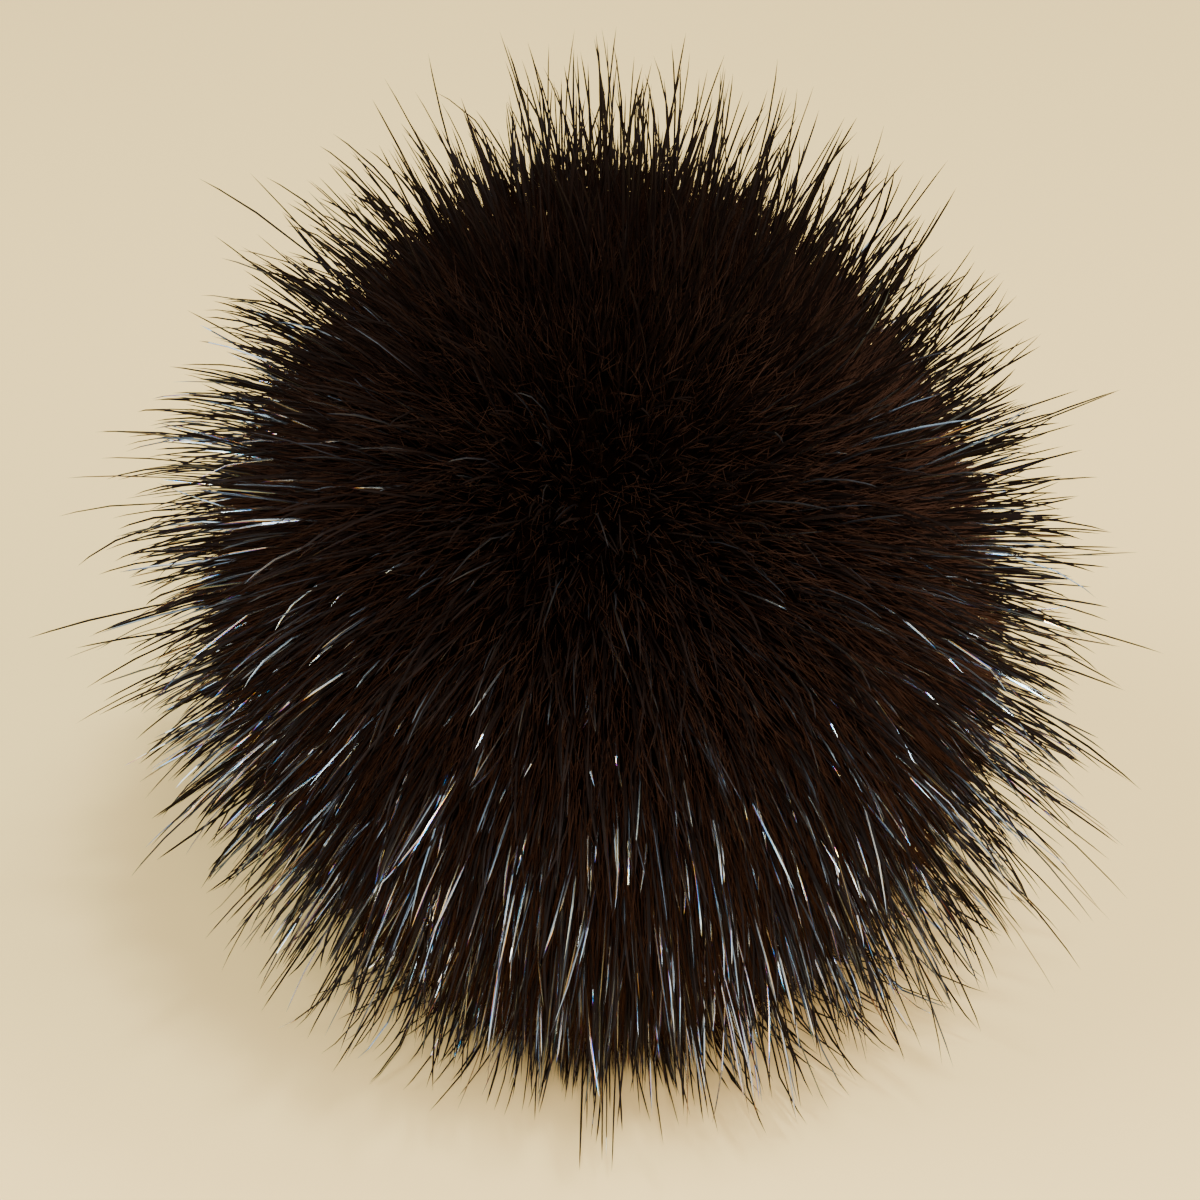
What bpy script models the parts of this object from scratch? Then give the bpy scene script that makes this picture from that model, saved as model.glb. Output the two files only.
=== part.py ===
"""Fur pom pom: a ball of dense dark underfur with locks of longer guard hair all round it.

Real size, in metres, +Z up. The origin is on the surface that the ball rests on, under its middle, and -Y is
its front. The dense underfur makes the valleys, and each lock of guard hair makes one spike that leans
outwards, droops a little and, low down, splays out along the surface.
"""

import math
import random

import bmesh
import bpy
from mathutils import Vector, noise

# Driving dimensions
BODY_RADIUS = 0.0205  # dense underfur, from the ball's middle
LOCK_LENGTH = 0.0053  # how far a lock stands out of the underfur
MIDDLE_HEIGHT = 0.0195  # less than BODY_RADIUS, so the ball is pressed flat where it rests

# Shape of the pile
LOCK_SUBDIVISIONS = 4  # an icosphere this fine has 642 corners, one for each lock
LENGTH_SPREAD = 0.0007  # locks are longer or shorter by up to this
LEAN_SPREAD = 0.10  # and lean to one side by up to this share of their length
DROOP = 0.28  # pull downwards against 1 for straight outwards
LUMP = 0.0004  # the underfur is uneven by about this
LUMPS_ACROSS = 3.0  # lumps in the ball's width
LIFT_HEIGHT = 0.0030  # locks rooted lower than this are partly trapped under the ball
SEED = 7

# Patches where the guard hair is longer or shorter. bearing runs from the front to the ball's right.
PATCH_COLUMNS = ("bearing_deg", "height_deg", "spread_deg", "longer_by")
PATCHES = (
    (180, 60, 30, 0.0009),
    (0, -40, 28, 0.0008),
    (-126, 42, 18, -0.0014),
    (99, 14, 12, -0.0010),
    (-75, -25, 25, 0.0006),
)

FUR_COLOUR = (0.020, 0.011, 0.007, 1.0)
FUR_ROUGHNESS = 0.6


def clear_scene():
    for obj in list(bpy.data.objects):
        bpy.data.objects.remove(obj, do_unlink=True)


def fur_material():
    material = bpy.data.materials.new("dark_brown_fur")
    material.use_nodes = True
    shader = material.node_tree.nodes["Principled BSDF"]
    shader.inputs["Base Color"].default_value = FUR_COLOUR
    shader.inputs["Roughness"].default_value = FUR_ROUGHNESS
    shader.inputs["Metallic"].default_value = 0.0
    return material


def direction(bearing_deg, height_deg):
    """The way out of the ball at a bearing from the front and a height above its middle."""
    bearing, height = math.radians(bearing_deg), math.radians(height_deg)
    level = math.cos(height)
    return Vector((level * math.sin(bearing), -level * math.cos(bearing), math.sin(height)))


def patch_length(out):
    """What the patches add to a lock's length."""
    added = 0.0
    for row in PATCHES:
        patch = dict(zip(PATCH_COLUMNS, row))
        away = math.degrees(out.angle(direction(patch["bearing_deg"], patch["height_deg"])))
        added += patch["longer_by"] * math.exp(-((away / patch["spread_deg"]) ** 2))
    return added


def underfur_point(out):
    """Where the underfur ends in this direction, flattened on the resting surface."""
    lump = LUMP * noise.noise(out * LUMPS_ACROSS)
    point = out * (BODY_RADIUS + lump)
    point.z = max(point.z + MIDDLE_HEIGHT, 0.0)
    return point


def lock_tip(out, rng):
    """Where the lock that is rooted in this direction ends."""
    root = underfur_point(out)
    length = LOCK_LENGTH + patch_length(out) + rng.uniform(-LENGTH_SPREAD, LENGTH_SPREAD)
    lean = Vector([rng.uniform(-LEAN_SPREAD, LEAN_SPREAD) for _ in range(3)])
    along = (out + lean + Vector((0.0, 0.0, -DROOP))).normalized()
    lift = min(root.z / LIFT_HEIGHT, 1.0)
    length *= lift * lift * (3.0 - 2.0 * lift)
    tip = root + along * length
    if tip.z >= 0.0:
        return tip
    # The table stops the tip, so the lock lies out along it at its own length.
    level = Vector((along.x, along.y, 0.0)).normalized()
    reach = math.sqrt(max(length**2 - root.z**2, 0.0))
    return Vector((root.x, root.y, 0.0)) + level * reach


def fur_ball(collection):
    rng = random.Random(SEED)
    bm = bmesh.new()
    bmesh.ops.create_icosphere(bm, subdivisions=LOCK_SUBDIVISIONS, radius=1.0)
    locks = len(bm.verts)
    # A cut at the middle of each edge puts a ring of underfur points round each lock.
    bmesh.ops.subdivide_edges(bm, edges=bm.edges[:], cuts=1, use_grid_fill=True)
    bm.verts.index_update()
    for vert in bm.verts:
        out = vert.co.normalized()
        vert.co = lock_tip(out, rng) if vert.index < locks else underfur_point(out)
    bmesh.ops.recalc_face_normals(bm, faces=bm.faces[:])
    mesh = bpy.data.meshes.new("fur_ball")
    bm.to_mesh(mesh)
    bm.free()
    centre_on_box(mesh)
    mesh.materials.append(fur_material())
    obj = bpy.data.objects.new("fur_ball", mesh)
    collection.objects.link(obj)
    return obj


def centre_on_box(mesh):
    """Moves the ball sideways so that the middle of its width and depth is over the origin."""
    for axis in range(2):
        places = [vert.co[axis] for vert in mesh.vertices]
        middle = (min(places) + max(places)) / 2
        for vert in mesh.vertices:
            vert.co[axis] -= middle


clear_scene()
pom_pom = bpy.data.collections.new("fur_pom_pom")
bpy.context.scene.collection.children.link(pom_pom)
fur_ball(pom_pom)
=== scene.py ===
import math

import bmesh
import bpy
import numpy as np
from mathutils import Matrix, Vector, kdtree


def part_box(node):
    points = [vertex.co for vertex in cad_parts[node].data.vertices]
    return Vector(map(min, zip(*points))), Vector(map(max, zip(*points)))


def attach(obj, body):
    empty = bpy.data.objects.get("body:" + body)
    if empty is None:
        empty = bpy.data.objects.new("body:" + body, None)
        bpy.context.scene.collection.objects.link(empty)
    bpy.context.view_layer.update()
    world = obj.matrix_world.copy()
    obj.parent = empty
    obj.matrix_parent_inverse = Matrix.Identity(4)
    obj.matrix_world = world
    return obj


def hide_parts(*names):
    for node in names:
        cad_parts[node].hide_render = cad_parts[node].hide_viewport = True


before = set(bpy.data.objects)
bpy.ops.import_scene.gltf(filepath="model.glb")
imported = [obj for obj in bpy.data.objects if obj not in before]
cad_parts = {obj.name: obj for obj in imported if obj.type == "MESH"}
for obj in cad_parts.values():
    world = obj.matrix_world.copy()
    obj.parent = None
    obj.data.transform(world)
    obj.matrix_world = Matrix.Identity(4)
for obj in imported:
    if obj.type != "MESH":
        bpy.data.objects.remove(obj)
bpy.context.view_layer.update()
bpy.ops.object.select_all(action="DESELECT")

# The stuffed ball: a disc of pelt, gathered shut with a thread over a filling, hair side out. What shows of
# it between the hairs is only the densest wool near the hide, a round mass coloured near black as painted
# deep shade, pressed flat where it rests.
ball_low, ball_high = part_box("fur_ball")
pile_radius = (ball_high.x - ball_low.x) / 2  # from the ball's middle to the tips of the guard hair
bed_radius = 0.695 * pile_radius  # inside this the wool is too dense to see into
middle = Vector((0, 0, 0.753 * pile_radius))  # low, because the hair underneath is bent over
pressed_height = 0.0009  # a layer of hair this thick is caught between the ball and the surface
lump_depth = 0.0007
lump_width = 0.0022


def finish_mesh(obj):
    """Puts a piece's place into its mesh and leaves its object at the origin, smooth and deselected."""
    obj.data.transform(obj.matrix_world)
    obj.matrix_world.identity()
    obj.data.shade_smooth()
    obj.select_set(False)


def painted_shade_wool_material():
    """Matt brown wool, coloured almost black as painted deep shade, mottled by its own small tufts."""
    material = bpy.data.materials.new("wool_bed_painted_shade")
    material.use_nodes = True
    nodes, links = material.node_tree.nodes, material.node_tree.links
    shader = nodes["Principled BSDF"]
    shader.inputs["Roughness"].default_value = 0.95
    shader.inputs["Specular IOR Level"].default_value = 0.0
    place = nodes.new("ShaderNodeTexCoord")
    tufts = nodes.new("ShaderNodeTexNoise")
    tufts.inputs["Scale"].default_value = 900
    tufts.inputs["Detail"].default_value = 4
    shade = nodes.new("ShaderNodeValToRGB")
    # Painted deep shade: the wool near the hide is coloured almost black.
    shade.color_ramp.elements[0].position = 0.35
    shade.color_ramp.elements[0].color = (0.0005, 0.0002, 0.0001, 1)
    shade.color_ramp.elements[1].position = 0.75
    shade.color_ramp.elements[1].color = (0.0026, 0.0009, 0.0004, 1)
    bump = nodes.new("ShaderNodeBump")
    bump.inputs["Strength"].default_value = 0.8
    bump.inputs["Distance"].default_value = 0.0004
    links.new(place.outputs["Object"], tufts.inputs["Vector"])
    links.new(tufts.outputs["Fac"], shade.inputs["Fac"])
    links.new(shade.outputs["Color"], shader.inputs["Base Color"])
    links.new(tufts.outputs["Fac"], bump.inputs["Height"])
    links.new(bump.outputs["Normal"], shader.inputs["Normal"])
    return material


bpy.ops.mesh.primitive_ico_sphere_add(subdivisions=5, radius=bed_radius, location=middle)
stuffed_ball = bpy.context.object
stuffed_ball.name = "stuffed_ball"
bpy.ops.object.mode_set(mode="EDIT")
bpy.ops.mesh.select_all(action="SELECT")
bpy.ops.mesh.bisect(
    plane_co=(0, 0, pressed_height), plane_no=(0, 0, -1), clear_outer=True, use_fill=True
)
bpy.ops.mesh.select_all(action="SELECT")
bpy.ops.mesh.quads_convert_to_tris()
bpy.ops.object.mode_set(mode="OBJECT")
smaller = stuffed_ball.modifiers.new("smaller", "SUBSURF")
smaller.levels = smaller.render_levels = 1
bpy.ops.object.modifier_apply(modifier="smaller")
lumps = bpy.data.textures.new("wool_lumps", "CLOUDS")
lumps.noise_scale = lump_width
lumpy = stuffed_ball.modifiers.new("lumpy", "DISPLACE")
lumpy.texture = lumps
lumpy.strength = lump_depth
lumpy.mid_level = 1.0
bpy.ops.object.modifier_apply(modifier="lumpy")
finish_mesh(stuffed_ball)
stuffed_ball.data.materials.append(painted_shade_wool_material())
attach(stuffed_ball, "root")
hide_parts("fur_ball")

# Underfur: short, fine, soft brown wool, so dense that it hides the hide. It grows out of the pelt all over
# the ball in small crimped tufts, and makes the ball's dense edge. It is laid in three zones, top to bottom.
UNDERFUR_ZONES = (
    # name, lowest and highest part of the ball's height that it covers, as -1 to 1
    ("underfur_top", 0.333, 1.0),
    ("underfur_middle", -0.333, 0.333),
    ("underfur_bottom", -1.0, -0.333),
)
UNDERFUR_COUNT = 48000
UNDERFUR_RINGS = (
    # height up the hair, width
    (0.0, 1.0),
    (0.55, 0.8),
    (1.0, 0.0),
)
underfur_root_radius = 0.60 * pile_radius
underfur_tip_radius = 0.770 * pile_radius
underfur_half_width = 0.000041
underfur_width_range = (0.8, 1.25)
underfur_crimp = 0.40
underfur_uneven = 0.024  # how unevenly single hairs reach, as a share of their reach
UNDERFUR_TUFTS = 5200
tuft_uneven = 0.012  # and how unevenly whole tufts do
tuft_pull_range = (0.0, 0.3)  # how far the hairs of a tuft draw together: 0 not at all, 1 to one point
surface_gap_range = (0.0001, 0.0010)  # hair that lies along the surface stays this far above it
wool_tone = 0.49  # from 0, the darkest brown, to 1, the lightest
tuft_tone_range = 0.11
hair_tone_range = 0.08
underfur_rng = np.random.default_rng(11)

# How the fur lies round the ball, from being handled and from resting. Bearing runs from the front to the
# ball's right and height up from its middle, both in degrees. A lean is a share of the straight way out.
LIE_COLUMNS = ("bearing", "height", "spread", "right", "up")
LIE_OF_THE_FUR = (
    (-105, 35, 38, 0.00, -0.12),
    (-95, -10, 30, 0.02, -0.10),
    (-30, 8, 34, 0.00, -0.30),
    (103, 38, 26, 0.00, 0.42),
    (96, -8, 28, 0.00, 0.02),
    (45, -8, 30, -0.16, -0.30),
    (0, -18, 30, -0.04, -0.22),
    (150, 62, 30, 0.00, 0.12),
)
droop = 0.31  # how far all the hair hangs

# Patches of the coat: where the wool and the guard hair stand further out than the rest, as shares of the
# pile's radius, and where less of the guard hair is glossy. The tone column is painted light and shade on the
# wool: lighter at the two sides, where the light falls across the hair, and darker on top, in the middle
# where the hair points at the camera, and underneath, where shade falls into the fur.
PATCH_COLUMNS = ("bearing", "height", "spread", "wool", "guard", "tone", "gloss")
COAT_PATCHES_AND_PAINTED_LIGHT = (
    (180, 57, 42, 0.115, 0.100, -0.34, -0.45),
    (0, 78, 48, 0.000, 0.000, -0.31, -0.40),
    (-4, 38, 22, 0.000, 0.000, -0.19, 0.00),
    (0, -40, 30, 0.145, 0.080, 0.00, 0.03),
    (0, -62, 20, 0.000, 0.000, -0.40, 0.00),
    (68, -29, 32, 0.070, 0.115, 0.00, 0.00),
    (90, 5, 28, 0.000, 0.010, 0.50, -0.12),
    (105, 28, 26, -0.015, -0.020, 0.00, -0.25),
    (-62, -30, 28, 0.000, -0.015, 0.00, 0.00),
    (-88, 5, 28, 0.000, 0.005, 0.33, 0.00),
    (-126, 42, 18, -0.050, -0.030, 0.00, 0.00),
)


def hair_pattern(name, rings):
    """The corners and faces of one straight, closed, three-sided hair of length 1 up +Z, modelled once."""
    same_height = 1e-4
    bpy.ops.mesh.primitive_cylinder_add(vertices=3, radius=1, depth=1, location=(0, 0, 0.5))
    hair = bpy.context.object
    hair.name = name
    bpy.ops.object.transform_apply(location=True)
    bpy.ops.object.mode_set(mode="EDIT")
    for height, width in rings[1:-1]:
        bpy.ops.mesh.select_all(action="SELECT")
        bpy.ops.mesh.bisect(plane_co=(0, 0, height), plane_no=(0, 0, 1))
    for height, width in rings:
        bpy.ops.mesh.select_all(action="DESELECT")
        shape = bmesh.from_edit_mesh(hair.data)
        for vert in shape.verts:
            vert.select_set(abs(vert.co.z - height) < same_height)
        bmesh.update_edit_mesh(hair.data)
        if width > 0:
            bpy.ops.transform.resize(value=(width, width, 1), center_override=(0, 0, height))
        else:
            bpy.ops.mesh.merge(type="CENTER")
    bpy.ops.mesh.select_all(action="SELECT")
    bpy.ops.mesh.quads_convert_to_tris()
    bpy.ops.object.mode_set(mode="OBJECT")
    hair.data.calc_loop_triangles()
    corners = np.array([vert.co for vert in hair.data.vertices])
    faces = np.array([tri.vertices for tri in hair.data.loop_triangles])
    bpy.data.objects.remove(hair, do_unlink=True)
    return corners, faces


def unit(vectors):
    """The same directions, each of length 1."""
    return vectors / np.maximum(np.linalg.norm(vectors, axis=-1, keepdims=True), 1e-12)


def spread_over_ball(count, rng):
    """Directions spread evenly over the ball along a fine spiral, each moved a little at random."""
    uneven = 0.6  # as a share of the gap between neighbours
    step = np.arange(count) + 0.5
    height = 1 - 2 * step / count
    turn = step * math.pi * (3 - math.sqrt(5))
    level = np.sqrt(1 - height**2)
    out = np.stack([level * np.cos(turn), level * np.sin(turn), height], axis=1)
    return unit(out + rng.normal(0, uneven * math.sqrt(4 * math.pi / count), out.shape))


def towards(bearing, height):
    """The way out of the ball at a bearing from the front and a height above its middle, in degrees."""
    bearing, height = math.radians(bearing), math.radians(height)
    level = math.cos(height)
    return np.array([level * math.sin(bearing), -level * math.cos(bearing), math.sin(height)])


def nearness(out, bearing, height, spread):
    """1 at a place on the ball, falling to 0 round it over about spread degrees."""
    away = np.degrees(np.arccos(np.clip(out @ towards(bearing, height), -1, 1)))
    return np.exp(-((away / spread) ** 2))


def lean_of(out):
    """The pull sideways and down on hair that grows in each direction."""
    lean = np.tile([0.0, 0.0, -droop], (len(out), 1))
    right = unit(np.cross([0.0, 0.0, 1.0], out))
    up = np.cross(out, right)
    for row in LIE_OF_THE_FUR:
        lie = dict(zip(LIE_COLUMNS, row))
        near = nearness(out, lie["bearing"], lie["height"], lie["spread"])[:, None]
        lean += near * (lie["right"] * right + lie["up"] * up)
    return lean


def patched(out, column):
    """What the patches add in one of their columns, in each direction; the tone column is painted light and
    shade.
    """
    added = np.zeros(len(out))
    for row in COAT_PATCHES_AND_PAINTED_LIGHT:
        patch = dict(zip(PATCH_COLUMNS, row))
        added += patch[column] * nearness(out, patch["bearing"], patch["height"], patch["spread"])
    return added


def nearest_tuft(out, count, rng):
    """Tufts spread over the ball, and for each direction, which of them it grows nearest to."""
    tree = kdtree.KDTree(count)
    for index, tuft in enumerate(spread_over_ball(count, rng)):
        tree.insert(tuft, index)
    tree.balance()
    return np.array([tree.find(way)[1] for way in out])


def grow(out, root_radius, tip_radius, rings, lean, bend):
    """The path of each hair, a point for each ring. It starts nearly straight out and leans ever more."""
    root_lean, tip_lean, straight_at = 0.35, 1.30, 0.3
    path = [np.array(middle) + out * root_radius]
    for (low_ring, low_width), (high_ring, high_width) in zip(rings[:-1], rings[1:]):
        along = (low_ring + high_ring) / 2
        leaning = root_lean + (tip_lean - root_lean) * along
        way = unit(out + lean * leaning + bend * (along - straight_at))
        path.append(path[-1] + way * ((high_ring - low_ring) * (tip_radius - root_radius))[:, None])
    return np.stack(path, axis=1)


def draw_together(path, rings, tuft, pull):
    """Bends each hair towards its tuft, most at the tip, so that a tuft's tips come nearer each other."""
    members = np.maximum(np.bincount(tuft, minlength=len(pull)), 1)
    tips = np.stack([np.bincount(tuft, path[:, -1, k], len(pull)) / members for k in range(3)], axis=1)
    towards_tuft = (tips[tuft] - path[:, -1]) * pull[tuft][:, None]
    share = np.array([height for height, width in rings]) ** 2
    return path + towards_tuft[:, None] * share[None, :, None]


def lay_on_surface(path, clearance):
    """Where a hair comes near the surface it turns gently and lies out along it, at its own length."""
    turn = 0.0008  # hair starts to turn a few times this far above the surface
    free = 6  # and isn't touched at all this many times as far
    outward = 2  # how strongly a lifted hair turns away from the ball's middle
    over = (path[:, :, 2] - clearance[:, None]) / turn
    heights = clearance[:, None] + turn * np.logaddexp(0, over)
    heights = np.where(over > free, path[:, :, 2], heights)
    laid = path.copy()
    for ring in range(1, path.shape[1]):
        step = path[:, ring] - path[:, ring - 1]
        long = np.linalg.norm(step, axis=1)
        rise = np.clip(heights[:, ring] - laid[:, ring - 1, 2], -long, long)
        lifted = np.clip((rise - step[:, 2]) / long, 0, 1)
        aside = outward * (lifted * long)[:, None] * unit(laid[:, ring - 1, :2])
        level = unit(step[:, :2] + aside) * np.sqrt(long**2 - rise**2)[:, None]
        laid[:, ring] = laid[:, ring - 1] + np.stack([level[:, 0], level[:, 1], rise], axis=1)
    return laid


def hairs(name, pattern, path, half_width, tone, roll, material, smooth):
    """One piece of many hairs, the pattern copied along each path. Its map is tone across, height up."""
    tone_margin, height_margin = 0.03, 0.01  # keep the map off its own edges
    width_on_map = 0.012  # gives a hair's faces some area on the map
    corners, faces = pattern
    heights = np.unique(np.round(corners[:, 2], 5))
    ring = np.searchsorted(heights, np.round(corners[:, 2], 5))
    along = unit(np.gradient(path, axis=1))
    across = unit(np.cross(along, roll[:, None, :]))
    aside = np.cross(along, across)
    points = path[:, ring]
    points = points + (corners[:, 0] * half_width[:, None])[:, :, None] * across[:, ring]
    points = points + (corners[:, 1] * half_width[:, None])[:, :, None] * aside[:, ring]
    count, each = points.shape[:2]
    mesh = bpy.data.meshes.new(name)
    mesh.vertices.add(count * each)
    mesh.vertices.foreach_set("co", points.astype(np.float32).ravel())
    used = (faces[None] + (np.arange(count) * each)[:, None, None]).reshape(-1, 3)
    mesh.loops.add(used.size)
    mesh.loops.foreach_set("vertex_index", used.astype(np.int32).ravel())
    mesh.polygons.add(len(used))
    mesh.polygons.foreach_set("loop_start", np.arange(0, used.size, 3, dtype=np.int32))
    mesh.update(calc_edges=True)
    mesh.validate()
    tones = (tone_margin + (1 - 2 * tone_margin) * tone)[:, None] + width_on_map * corners[None, :, 0]
    rises = np.tile(height_margin + (1 - 2 * height_margin) * corners[:, 2], (count, 1))
    places = np.stack([tones, rises], axis=2).reshape(-1, 2)[used.ravel()]
    layer = mesh.uv_layers.new(name="OFBake")
    layer.uv.foreach_set("vector", places.astype(np.float32).ravel())
    if smooth:
        mesh.shade_smooth()
    else:
        mesh.shade_flat()
    mesh.materials.append(material)
    obj = bpy.data.objects.new(name, mesh)
    bpy.context.scene.collection.objects.link(obj)
    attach(obj, "root")
    return obj


def hair_material(name, root_colours, tip_colours, roughness, ior):
    """Hair that goes from root to tip colours up its map, and from dark to light across it."""
    material = bpy.data.materials.new(name)
    material.use_nodes = True
    nodes, links = material.node_tree.nodes, material.node_tree.links
    shader = nodes["Principled BSDF"]
    shader.inputs["Roughness"].default_value = roughness
    shader.inputs["IOR"].default_value = ior
    place = nodes.new("ShaderNodeUVMap")
    place.uv_map = "OFBake"
    parts = nodes.new("ShaderNodeSeparateXYZ")
    links.new(place.outputs["UV"], parts.inputs["Vector"])
    ramps = []
    for colours in (root_colours, tip_colours):
        ramp = nodes.new("ShaderNodeValToRGB")
        ramp.color_ramp.elements[0].color = (*colours[0], 1)
        ramp.color_ramp.elements[1].color = (*colours[1], 1)
        links.new(parts.outputs["X"], ramp.inputs["Fac"])
        ramps.append(ramp)
    mix = nodes.new("ShaderNodeMix")
    mix.data_type = "RGBA"
    links.new(parts.outputs["Y"], mix.inputs["Factor"])
    links.new(ramps[0].outputs["Color"], mix.inputs["A"])
    links.new(ramps[1].outputs["Color"], mix.inputs["B"])
    links.new(mix.outputs["Result"], shader.inputs["Base Color"])
    return material


underfur_out = spread_over_ball(UNDERFUR_COUNT, underfur_rng)
underfur_tuft = nearest_tuft(underfur_out, UNDERFUR_TUFTS, underfur_rng)
tuft_reach = underfur_rng.uniform(-1, 1, UNDERFUR_TUFTS)
underfur_tip = pile_radius * patched(underfur_out, "wool") + underfur_tip_radius * (
    1
    + tuft_uneven * tuft_reach[underfur_tuft]
    + underfur_rng.normal(0, underfur_uneven, UNDERFUR_COUNT)
)
underfur_path = grow(
    underfur_out,
    underfur_root_radius,
    underfur_tip,
    UNDERFUR_RINGS,
    lean_of(underfur_out),
    underfur_rng.normal(0, underfur_crimp, (UNDERFUR_COUNT, 3)),
)
underfur_pull = underfur_rng.uniform(*tuft_pull_range, UNDERFUR_TUFTS)
underfur_path = draw_together(underfur_path, UNDERFUR_RINGS, underfur_tuft, underfur_pull)
underfur_gap = underfur_rng.uniform(*surface_gap_range, UNDERFUR_COUNT)
underfur_path = lay_on_surface(underfur_path, underfur_gap)
# The wool's own tone, which differs at random by tuft and by hair, plus the patches' painted light and shade.
underfur_tone_and_painted_light = wool_tone + patched(underfur_out, "tone") + tuft_tone_range * tuft_reach[underfur_tuft]
underfur_tone_and_painted_light = np.clip(underfur_tone_and_painted_light + underfur_rng.normal(0, hair_tone_range, UNDERFUR_COUNT), 0, 1)
underfur_width = underfur_half_width * underfur_rng.uniform(*underfur_width_range, UNDERFUR_COUNT)
underfur_roll = unit(underfur_rng.normal(0, 1, (UNDERFUR_COUNT, 3)))
underfur_pattern = hair_pattern("underfur_hair", UNDERFUR_RINGS)
underfur_material = hair_material(
    "underfur_wool",
    # Darker at the root than at the tip: painted shade deep in the wool.
    root_colours=((0.0030, 0.0011, 0.0005), (0.0330, 0.0150, 0.0092)),
    tip_colours=((0.0042, 0.0015, 0.0006), (0.0570, 0.0262, 0.0167)),
    roughness=0.9,
    ior=1.05,
)
for zone, low_end, high_end in UNDERFUR_ZONES:
    height = underfur_out[:, 2]
    part = (height >= low_end) & (height < high_end)
    wool = hairs(
        zone,
        underfur_pattern,
        underfur_path[part],
        underfur_width[part],
        underfur_tone_and_painted_light[part],
        underfur_roll[part],
        underfur_material,
        smooth=True,
    )

# Short guard hair: stiff, glossy, nearly black hair that ends just past the underfur and gives the coat its
# sleek streaks. It grows out of the pelt between the wool.
SHORT_COUNT = 6200
SHORT_RINGS = (
    (0.0, 0.6),
    (0.50, 0.95),
    (0.80, 1.0),
    (1.0, 0.0),
)
short_root_radius = 0.64 * pile_radius
short_tip_radius = 0.745 * pile_radius
short_tip_spread = 0.085 * pile_radius
short_spread_shape = (1.5, 2.0)  # most end near the middle of the spread
short_half_width = 0.000050
short_width_range = (0.75, 1.2)
short_bend = 0.12
short_stray = 0.045  # how far single hairs lean out of the lie of the fur; a few lean several times this
most_stray = 4
SHORT_TUFTS = 2200
short_tuft_lean = 0.06
short_pull_range = (0.0, 0.6)
guard_gap_range = (0.0001, 0.0009)
all_matt_tone, all_glossy_tone = 0.55, 0.70
matt_roughness, gloss_roughness = 0.52, 0.18
thinnest_film, thickest_film = 54, 215  # nanometres: white at the thin end, blue at the thick end
tint_turns = 61.0  # how many times the film runs through its tints from the lowest tone to the highest
mostly_thin = 2.0  # above 1, more of the film is near its thinnest
short_rng = np.random.default_rng(5)


def gloss_material():
    """Nearly black hair, most of it matt and some very glossy, with a thin film that tints the highlights."""
    material = hair_material(
        "guard_hair_gloss",
        root_colours=((0.0024, 0.0011, 0.0008), (0.0070, 0.0036, 0.0027)),
        tip_colours=((0.0034, 0.0017, 0.0012), (0.0130, 0.0074, 0.0058)),
        roughness=matt_roughness,
        ior=1.12,
    )
    nodes, links = material.node_tree.nodes, material.node_tree.links
    shader = nodes["Principled BSDF"]
    parts = next(node for node in nodes if node.type == "SEPXYZ")
    glossy = nodes.new("ShaderNodeMapRange")
    glossy.inputs["From Min"].default_value = all_matt_tone
    glossy.inputs["From Max"].default_value = all_glossy_tone
    links.new(parts.outputs["X"], glossy.inputs["Value"])
    roughness = nodes.new("ShaderNodeMapRange")
    roughness.inputs["To Min"].default_value = matt_roughness
    roughness.inputs["To Max"].default_value = gloss_roughness
    links.new(glossy.outputs["Result"], roughness.inputs["Value"])
    links.new(roughness.outputs["Result"], shader.inputs["Roughness"])
    tint = nodes.new("ShaderNodeMath")
    tint.operation = "MULTIPLY_ADD"
    tint.inputs[1].default_value = tint_turns
    links.new(parts.outputs["X"], tint.inputs[0])
    links.new(parts.outputs["Y"], tint.inputs[2])
    tint_turn = nodes.new("ShaderNodeMath")
    tint_turn.operation = "FRACT"
    links.new(tint.outputs["Value"], tint_turn.inputs[0])
    thinned = nodes.new("ShaderNodeMath")
    thinned.operation = "POWER"
    thinned.inputs[1].default_value = mostly_thin
    links.new(tint_turn.outputs["Value"], thinned.inputs[0])
    film = nodes.new("ShaderNodeMapRange")
    film.inputs["To Min"].default_value = thinnest_film
    film.inputs["To Max"].default_value = thickest_film
    links.new(thinned.outputs["Value"], film.inputs["Value"])
    thickness = nodes.new("ShaderNodeMath")
    thickness.operation = "MULTIPLY"
    links.new(film.outputs["Result"], thickness.inputs[0])
    links.new(glossy.outputs["Result"], thickness.inputs[1])
    shader.inputs["Thin Film IOR"].default_value = 1.75
    links.new(thickness.outputs["Value"], shader.inputs["Thin Film Thickness"])
    return material


def gloss_tone(out, rng):
    """A tone for each guard hair from 0 to 1: the higher, the glossier."""
    least, most = -0.5, 0.1
    share = 1 + np.clip(patched(out, "gloss"), least, most)
    return np.clip(rng.uniform(0, 1, len(out)) * share, 0, 1)


def stray_of(rng, count):
    """A lean in any direction for each hair: small for most, and large for a few."""
    evenness = 3  # the lower, the further the few stray
    return np.clip(rng.standard_t(evenness, (count, 3)), -most_stray, most_stray)


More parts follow.
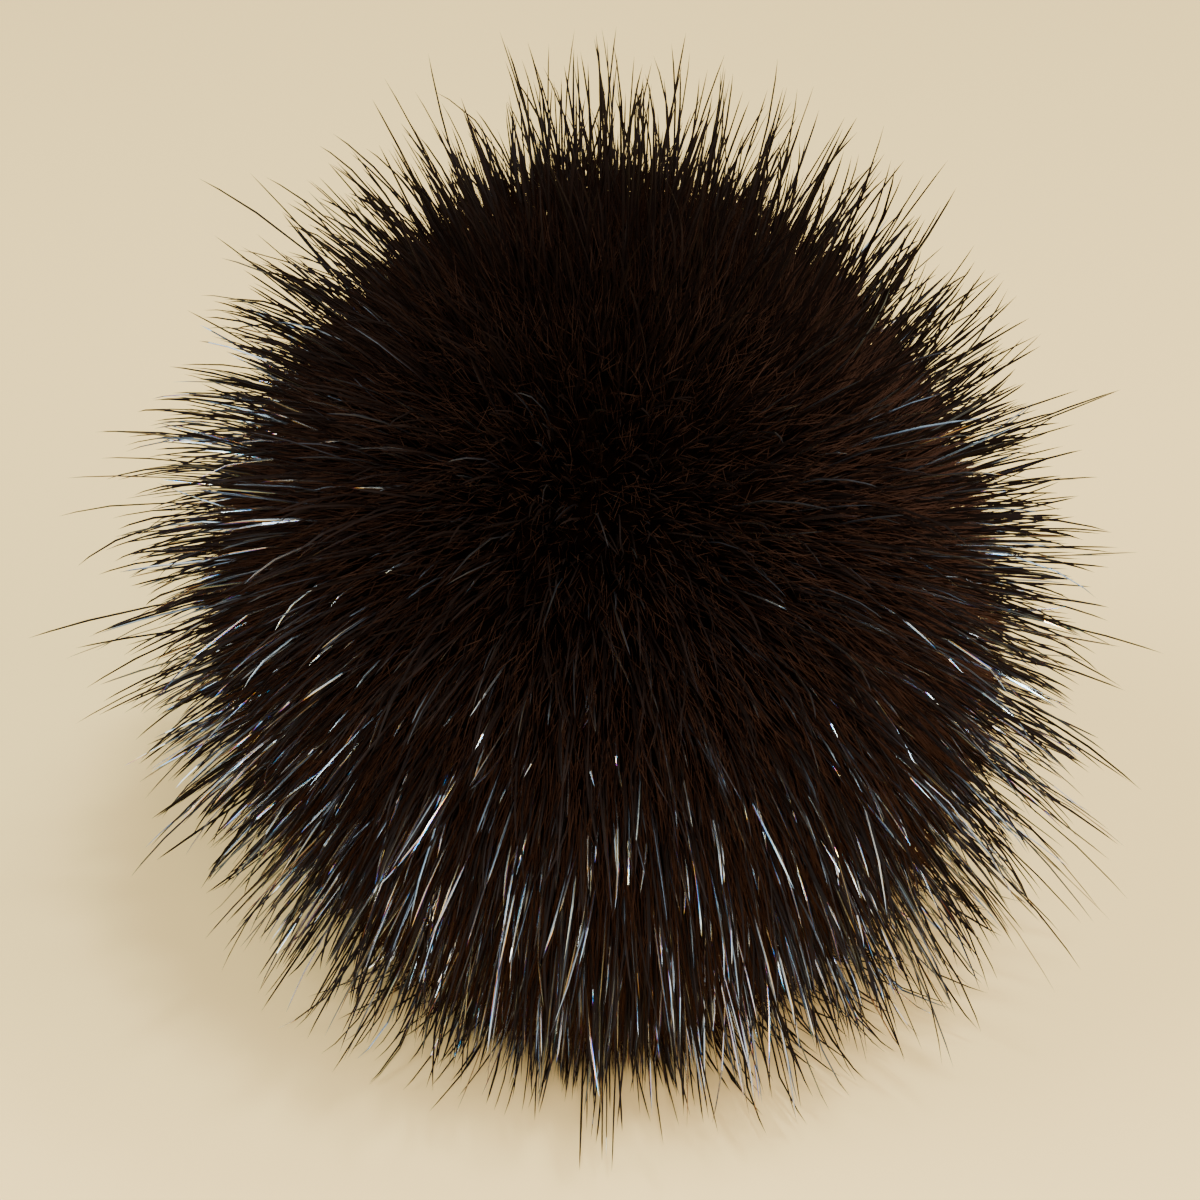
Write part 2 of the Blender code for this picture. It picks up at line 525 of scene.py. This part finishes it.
gloss = gloss_material()
short_out = spread_over_ball(SHORT_COUNT, short_rng)
short_tuft = nearest_tuft(short_out, SHORT_TUFTS, short_rng)
short_lean = lean_of(short_out) + short_rng.normal(0, short_tuft_lean, (SHORT_TUFTS, 3))[short_tuft]
short_tip = short_tip_radius + short_tip_spread * short_rng.beta(*short_spread_shape, SHORT_COUNT)
short_path = grow(
    short_out,
    short_root_radius,
    short_tip + pile_radius * patched(short_out, "wool"),
    SHORT_RINGS,
    short_lean + short_stray * stray_of(short_rng, SHORT_COUNT),
    short_rng.normal(0, short_bend, (SHORT_COUNT, 3)),
)
short_pull = short_rng.uniform(*short_pull_range, SHORT_TUFTS)
short_path = draw_together(short_path, SHORT_RINGS, short_tuft, short_pull)
short_path = lay_on_surface(short_path, short_rng.uniform(*guard_gap_range, SHORT_COUNT))
short_guard = hairs(
    "guard_hair_short",
    hair_pattern("short_hair", SHORT_RINGS),
    short_path,
    short_half_width * short_rng.uniform(*short_width_range, SHORT_COUNT),
    gloss_tone(short_out, short_rng),
    unit(short_rng.normal(0, 1, (SHORT_COUNT, 3))),
    gloss,
    smooth=False,
)

# Long guard hair: the same stiff hair, growing out of the pelt far past the underfur as a thin outer fringe.
# Each has three flat sides, is thickest past its middle and is drawn to a long fine point, and no two reach
# equally far.
LONG_ZONES = (
    ("guard_hair_long_upper", 0.0, 1.0),
    ("guard_hair_long_lower", -1.0, 0.0),
)
LONG_COUNT = 6600
LONG_RINGS = (
    (0.0, 0.55),
    (0.42, 0.9),
    (0.72, 1.0),
    (0.90, 0.68),
    (1.0, 0.0),
)
long_root_radius = 0.66 * pile_radius
long_tip_radius = 0.765 * pile_radius
long_tip_spread = 0.415 * pile_radius
long_spread_shape = (1.4, 3.0)  # most end in the nearer part of the spread
long_half_width = 0.000056
long_width_range = (0.7, 1.25)
matt_width, gloss_thinning = 1.03, 0.3  # glossy hairs are thinner than matt ones
long_bend = 0.10
long_stray = 0.055
LONG_TUFTS = 2200
long_tuft_lean = 0.08
long_pull_range = (0.1, 0.95)
long_rng = np.random.default_rng(8)

long_out = spread_over_ball(LONG_COUNT, long_rng)
long_tuft = nearest_tuft(long_out, LONG_TUFTS, long_rng)
long_tip = long_tip_radius + long_tip_spread * long_rng.beta(*long_spread_shape, LONG_COUNT)
long_lean = lean_of(long_out) + long_rng.normal(0, long_tuft_lean, (LONG_TUFTS, 3))[long_tuft]
long_path = grow(
    long_out,
    long_root_radius,
    long_tip + pile_radius * patched(long_out, "guard"),
    LONG_RINGS,
    long_lean + long_stray * stray_of(long_rng, LONG_COUNT),
    long_rng.normal(0, long_bend, (LONG_COUNT, 3)),
)
long_pull = long_rng.uniform(*long_pull_range, LONG_TUFTS)
long_path = draw_together(long_path, LONG_RINGS, long_tuft, long_pull)
long_path = lay_on_surface(long_path, long_rng.uniform(*guard_gap_range, LONG_COUNT))
long_tone = gloss_tone(long_out, long_rng)
long_width = long_half_width * long_rng.uniform(*long_width_range, LONG_COUNT)
long_width = long_width * (matt_width - gloss_thinning * long_tone**2)
long_roll = unit(long_rng.normal(0, 1, (LONG_COUNT, 3)))
long_pattern = hair_pattern("long_hair", LONG_RINGS)
for zone, low_end, high_end in LONG_ZONES:
    height = long_out[:, 2]
    part = (height >= low_end) & (height < high_end)
    long_guard = hairs(
        zone,
        long_pattern,
        long_path[part],
        long_width[part],
        long_tone[part],
        long_roll[part],
        gloss,
        smooth=False,
    )

# Setting: a plain pale surface under the ball, with small cool ceiling lights over it, a warmer soft light
# in front and a broad warm one at its right.
floor_side = 3.0
cool_white, warm_white, lamp_yellow = (0.90, 1.0, 1.0), (1.0, 0.96, 0.90), (1.0, 0.91, 0.80)
room_colour, room_strength = (1.0, 0.95, 0.90, 1), 0.14


def floor_material():
    """Smooth, pale, matt board."""
    material = bpy.data.materials.new("pale_board")
    material.use_nodes = True
    shader = material.node_tree.nodes["Principled BSDF"]
    shader.inputs["Base Color"].default_value = (0.90, 0.63, 0.25, 1)
    shader.inputs["Roughness"].default_value = 0.7
    return material


bpy.ops.mesh.primitive_plane_add(size=floor_side)
floor = bpy.context.object
floor.name = "pale_floor"
floor.data.materials.append(floor_material())
floor.select_set(False)


def area_light(name, place, size, power, colour):
    """A square soft light at a place, facing the ball's middle and itself out of sight."""
    data = bpy.data.lights.new(name, "AREA")
    data.size, data.energy, data.color = size, power, colour
    light = bpy.data.objects.new(name, data)
    light.location = place
    light.rotation_euler = (middle - Vector(place)).to_track_quat("-Z", "Y").to_euler()
    light.visible_camera = False
    bpy.context.scene.collection.objects.link(light)


area_light("ceiling_light_front", (0.10, -0.13, 0.49), 0.05, 2.4, cool_white)
area_light("ceiling_light_right", (0.20, 0.03, 0.46), 0.05, 0.8, cool_white)
area_light("ceiling_light_left", (-0.30, -0.10, 0.38), 0.25, 2.0, cool_white)
area_light("front_light", (0.02, -0.43, 0.36), 0.14, 3.2, warm_white)
area_light("side_light", (0.50, -0.24, 0.26), 0.45, 4.8, lamp_yellow)

world = bpy.data.worlds.new("soft_room")
world.use_nodes = True
world.node_tree.nodes["Background"].inputs["Color"].default_value = room_colour
world.node_tree.nodes["Background"].inputs["Strength"].default_value = room_strength
bpy.context.scene.world = world

# Camera: close, looking down at the front of the ball, which nearly fills the frame.
camera_height = math.radians(33)
camera_distance = 0.18
share_of_frame = 0.865
sensor_width = 36
camera_data = bpy.data.cameras.new("camera")
camera_data.sensor_width = sensor_width
camera_data.lens = sensor_width * share_of_frame * camera_distance / (2 * pile_radius)
camera_data.clip_start = 0.01
camera = bpy.data.objects.new("camera", camera_data)
camera.location = middle + camera_distance * Vector((0, -math.cos(camera_height), math.sin(camera_height)))
camera.rotation_euler = (middle - camera.location).to_track_quat("-Z", "Y").to_euler()
bpy.context.scene.collection.objects.link(camera)
bpy.context.scene.camera = camera
